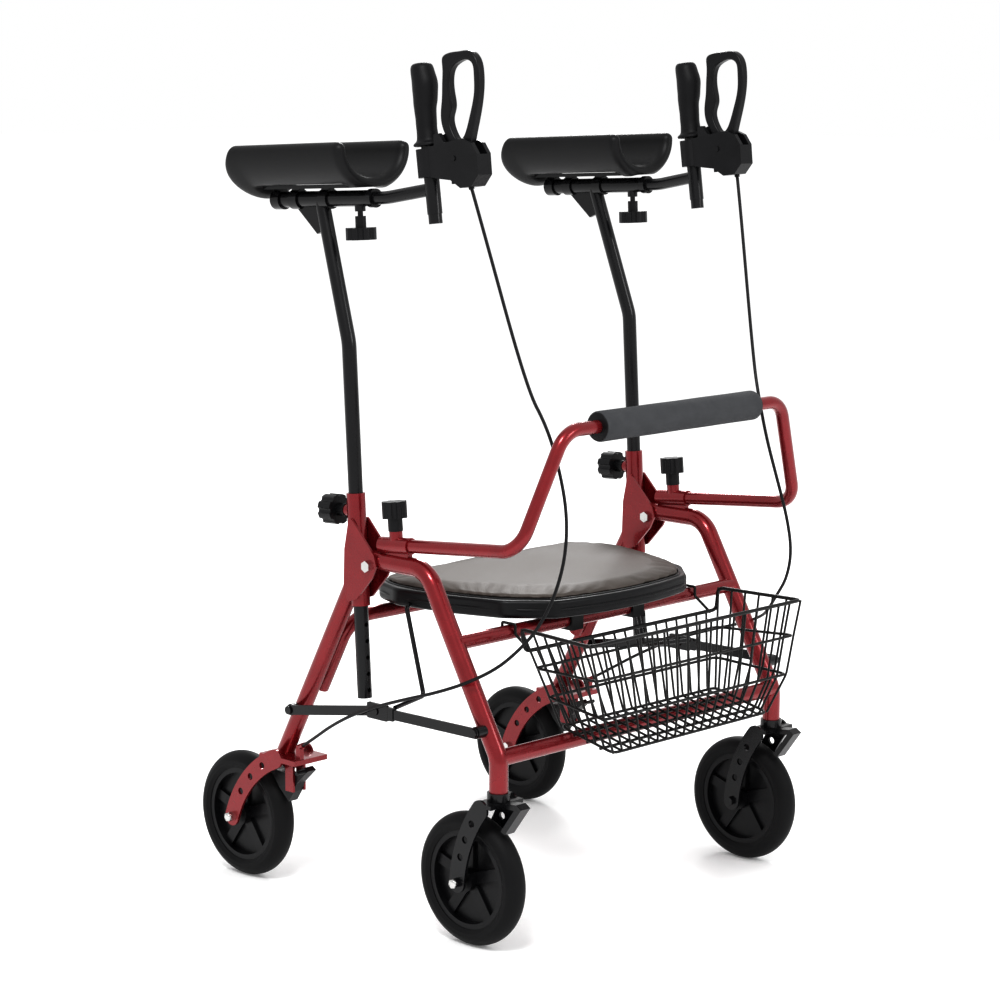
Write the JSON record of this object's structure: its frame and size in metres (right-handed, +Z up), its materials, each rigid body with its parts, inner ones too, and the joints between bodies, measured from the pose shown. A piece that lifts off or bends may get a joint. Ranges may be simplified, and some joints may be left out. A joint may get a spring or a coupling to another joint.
{
  "type": "folding rollator with forearm supports",
  "caption": "Folding rolling walking frame with forearm troughs, vertical grips with loop brake levers, padded seat, foam backrest, wire basket and swivel front wheels.",
  "frame": {"origin": "on the ground, midway between the side frames and in the middle of the overall length", "axes": "+Z up, -Y the way the frame rolls forward, +X towards the user's left"},
  "size_m": [0.75, 0.769, 1.299],
  "materials": {
    "tyre": "matte",
    "wheel_plastic": "satin",
    "frame_red": "gloss",
    "frame_black": "gloss",
    "bright_steel": "brushed",
    "black_plastic": "satin",
    "grip_rubber": "matte",
    "pad_foam": "matte",
    "roll_foam": "matte",
    "seat_vinyl": "matte",
    "basket_wire": "satin",
    "cable_jacket": "satin"
  },
  "bodies": {
    "rear_frame": {"rear_leg_left": "frame_red", "rear_leg_right": "frame_red", "rear_crossbar": "frame_red", "pivot_plates": "frame_red", "upright_sleeves": "frame_red", "rear_forks": "frame_red", "fold_bolts": "bright_steel", "rear_brace_bosses": "frame_black", "rear_axles": "bright_steel", "brake_cable_left": "cable_jacket", "brake_cable_right": "cable_jacket"},
    "front_frame": {"front_leg_left": "frame_red", "front_leg_right": "frame_red", "front_crossbars": "frame_red", "caster_collars": "bright_steel", "front_brace_bosses": "frame_black", "backrest_sockets": "frame_red"},
    "seat": {"seat_board": "black_plastic", "seat_pad": "seat_vinyl"},
    "fold_wire": {"fold_wire": "frame_black"},
    "backrest": {"backrest_bar": "frame_red", "foam_roll": "roll_foam"},
    "basket": {"basket": "basket_wire"},
    "caster_left": {"caster_fork_left": "frame_black"},
    "front_wheel_left": {"front_tyre_left": "tyre", "front_rim_left": "wheel_plastic"},
    "rear_wheel_left": {"rear_tyre_left": "tyre", "rear_rim_left": "wheel_plastic"},
    "upright_left": {"upright_tube_left": "frame_black", "armrest_bracket_left": "frame_black", "forearm_pad_left": "pad_foam"},
    "handle_left": {"handle_tube_left": "frame_black", "grip_left": "grip_rubber", "brake_housing_left": "black_plastic"},
    "brake_lever_left": {"brake_lever_left": "black_plastic"},
    "brake_arm_left": {"brake_arm_left": "black_plastic"},
    "height_knob_left": {"height_knob_left": "black_plastic"},
    "backrest_knob_left": {"backrest_knob_left": "black_plastic"},
    "handle_knob_left": {"handle_knob_left": "black_plastic"},
    "brace_rear_left": {"brace_rear_link_left": "frame_black"},
    "brace_front_left": {"brace_front_link_left": "frame_black"},
    "caster_right": {"caster_fork_right": "frame_black"},
    "front_wheel_right": {"front_tyre_right": "tyre", "front_rim_right": "wheel_plastic"},
    "rear_wheel_right": {"rear_tyre_right": "tyre", "rear_rim_right": "wheel_plastic"},
    "upright_right": {"upright_tube_right": "frame_black", "armrest_bracket_right": "frame_black", "forearm_pad_right": "pad_foam"},
    "handle_right": {"handle_tube_right": "frame_black", "grip_right": "grip_rubber", "brake_housing_right": "black_plastic"},
    "brake_lever_right": {"brake_lever_right": "black_plastic"},
    "brake_arm_right": {"brake_arm_right": "black_plastic"},
    "height_knob_right": {"height_knob_right": "black_plastic"},
    "backrest_knob_right": {"backrest_knob_right": "black_plastic"},
    "handle_knob_right": {"handle_knob_right": "black_plastic"},
    "brace_rear_right": {"brace_rear_link_right": "frame_black"},
    "brace_front_right": {"brace_front_link_right": "frame_black"}
  },
  "joints": [
    {"name": "frame_fold", "type": "hinge", "parent": "rear_frame", "child": "front_frame", "pos_m": [0, -0.0135, 0.54], "axis": [1, 0, 0], "range_deg": [0, 27.5]},
    {"name": "seat_tilt", "type": "hinge", "parent": "front_frame", "child": "seat", "pos_m": [0, -0.1835, 0.447], "axis": [1, 0, 0], "range_deg": [0, 33]},
    {"name": "fold_wire_swing", "type": "hinge", "parent": "seat", "child": "fold_wire", "pos_m": [0, -0.0135, 0.47], "axis": [1, 0, 0], "range_deg": [-27, 0]},
    {"name": "backrest_slide", "type": "slide", "parent": "front_frame", "child": "backrest", "axis": [0, -0.9962, 0.0872], "range_m": [0, 0.05]},
    {"name": "basket_lift", "type": "slide", "parent": "front_frame", "child": "basket", "axis": [0, -0.7071, 0.7071], "range_m": [0, 0.15]},
    {"name": "caster_swivel_left", "type": "hinge", "parent": "front_frame", "child": "caster_left", "pos_m": [0.315, -0.2695, 0.228], "axis": [0, 0, 1], "continuous": true},
    {"name": "front_wheel_spin_left", "type": "hinge", "parent": "caster_left", "child": "front_wheel_left", "pos_m": [0.315, -0.2175, 0.1], "axis": [1, 0, 0], "continuous": true},
    {"name": "rear_wheel_spin_left", "type": "hinge", "parent": "rear_frame", "child": "rear_wheel_left", "pos_m": [0.315, 0.2845, 0.1], "axis": [1, 0, 0], "continuous": true},
    {"name": "armrest_height_left", "type": "slide", "parent": "rear_frame", "child": "upright_left", "axis": [0, 0.0601, 0.9982], "range_m": [0, 0.075]},
    {"name": "handle_reach_left", "type": "slide", "parent": "upright_left", "child": "handle_left", "axis": [0, -0.9986, 0.0523], "range_m": [0, 0.06]},
    {"name": "brake_squeeze_left", "type": "hinge", "parent": "handle_left", "child": "brake_lever_left", "pos_m": [0.293, -0.16638, 1.14713], "axis": [1, 0, 0], "range_deg": [-10, 0], "stiffness_Nm_per_rad": 2, "springref_deg": 20.05},
    {"name": "brake_arm_press_left", "type": "hinge", "parent": "rear_frame", "child": "brake_arm_left", "pos_m": [0.315, 0.1705, 0.168], "axis": [1, 0, 0], "range_deg": [-3.4, 0]},
    {"name": "height_knob_turn_left", "type": "hinge", "parent": "rear_frame", "child": "height_knob_left", "pos_m": [0.315, 0.0291, 0.617], "axis": [0, 0.9982, -0.0601], "continuous": true},
    {"name": "backrest_knob_turn_left", "type": "hinge", "parent": "front_frame", "child": "backrest_knob_left", "pos_m": [0.315, -0.0575, 0.575], "axis": [0, 0.0872, 0.9962], "continuous": true},
    {"name": "handle_knob_turn_left", "type": "hinge", "parent": "upright_left", "child": "handle_knob_left", "pos_m": [0.304, 0.0316, 1.0823], "axis": [0, -0.0523, -0.9986], "continuous": true},
    {"name": "brace_rear_swing_left", "type": "hinge", "parent": "rear_frame", "child": "brace_rear_left", "pos_m": [0.342, 0.1525, 0.294], "axis": [1, 0, 0], "range_deg": [-27, 0]},
    {"name": "brace_front_swing_left", "type": "hinge", "parent": "front_frame", "child": "brace_front_left", "pos_m": [0.3457, -0.2495, 0.329], "axis": [1, 0, 0], "range_deg": [0, 29]},
    {"name": "caster_swivel_right", "type": "hinge", "parent": "front_frame", "child": "caster_right", "pos_m": [-0.315, -0.2695, 0.228], "axis": [0, 0, 1], "continuous": true},
    {"name": "front_wheel_spin_right", "type": "hinge", "parent": "caster_right", "child": "front_wheel_right", "pos_m": [-0.315, -0.2175, 0.1], "axis": [1, 0, 0], "continuous": true},
    {"name": "rear_wheel_spin_right", "type": "hinge", "parent": "rear_frame", "child": "rear_wheel_right", "pos_m": [-0.315, 0.2845, 0.1], "axis": [1, 0, 0], "continuous": true},
    {"name": "armrest_height_right", "type": "slide", "parent": "rear_frame", "child": "upright_right", "axis": [0, 0.0601, 0.9982], "range_m": [0, 0.075]},
    {"name": "handle_reach_right", "type": "slide", "parent": "upright_right", "child": "handle_right", "axis": [0, -0.9986, 0.0523], "range_m": [0, 0.06]},
    {"name": "brake_squeeze_right", "type": "hinge", "parent": "handle_right", "child": "brake_lever_right", "pos_m": [-0.293, -0.16638, 1.14713], "axis": [1, 0, 0], "range_deg": [-10, 0], "stiffness_Nm_per_rad": 2, "springref_deg": 20.05},
    {"name": "brake_arm_press_right", "type": "hinge", "parent": "rear_frame", "child": "brake_arm_right", "pos_m": [-0.315, 0.1705, 0.168], "axis": [1, 0, 0], "range_deg": [-3.4, 0]},
    {"name": "height_knob_turn_right", "type": "hinge", "parent": "rear_frame", "child": "height_knob_right", "pos_m": [-0.315, 0.0291, 0.617], "axis": [0, 0.9982, -0.0601], "continuous": true},
    {"name": "backrest_knob_turn_right", "type": "hinge", "parent": "front_frame", "child": "backrest_knob_right", "pos_m": [-0.315, -0.0575, 0.575], "axis": [0, 0.0872, 0.9962], "continuous": true},
    {"name": "handle_knob_turn_right", "type": "hinge", "parent": "upright_right", "child": "handle_knob_right", "pos_m": [-0.304, 0.0316, 1.0823], "axis": [0, -0.0523, -0.9986], "continuous": true},
    {"name": "brace_rear_swing_right", "type": "hinge", "parent": "rear_frame", "child": "brace_rear_right", "pos_m": [-0.342, 0.1525, 0.294], "axis": [1, 0, 0], "range_deg": [-27, 0]},
    {"name": "brace_front_swing_right", "type": "hinge", "parent": "front_frame", "child": "brace_front_right", "pos_m": [-0.3457, -0.2495, 0.329], "axis": [1, 0, 0], "range_deg": [0, 29]}
  ],
  "couplings": [
    {"joint": "brace_rear_swing_left", "follows": "frame_fold", "ratio": -0.9548},
    {"joint": "brace_front_swing_left", "follows": "frame_fold", "ratio": 1.0292},
    {"joint": "brake_arm_press_left", "follows": "brake_squeeze_left", "ratio": 0.33},
    {"joint": "brace_rear_swing_right", "follows": "frame_fold", "ratio": -0.9548},
    {"joint": "brace_front_swing_right", "follows": "frame_fold", "ratio": 1.0292},
    {"joint": "brake_arm_press_right", "follows": "brake_squeeze_right", "ratio": 0.33},
    {"joint": "seat_tilt", "follows": "frame_fold", "ratio": 1.166},
    {"joint": "fold_wire_swing", "follows": "frame_fold", "ratio": -0.9483}
  ]
}
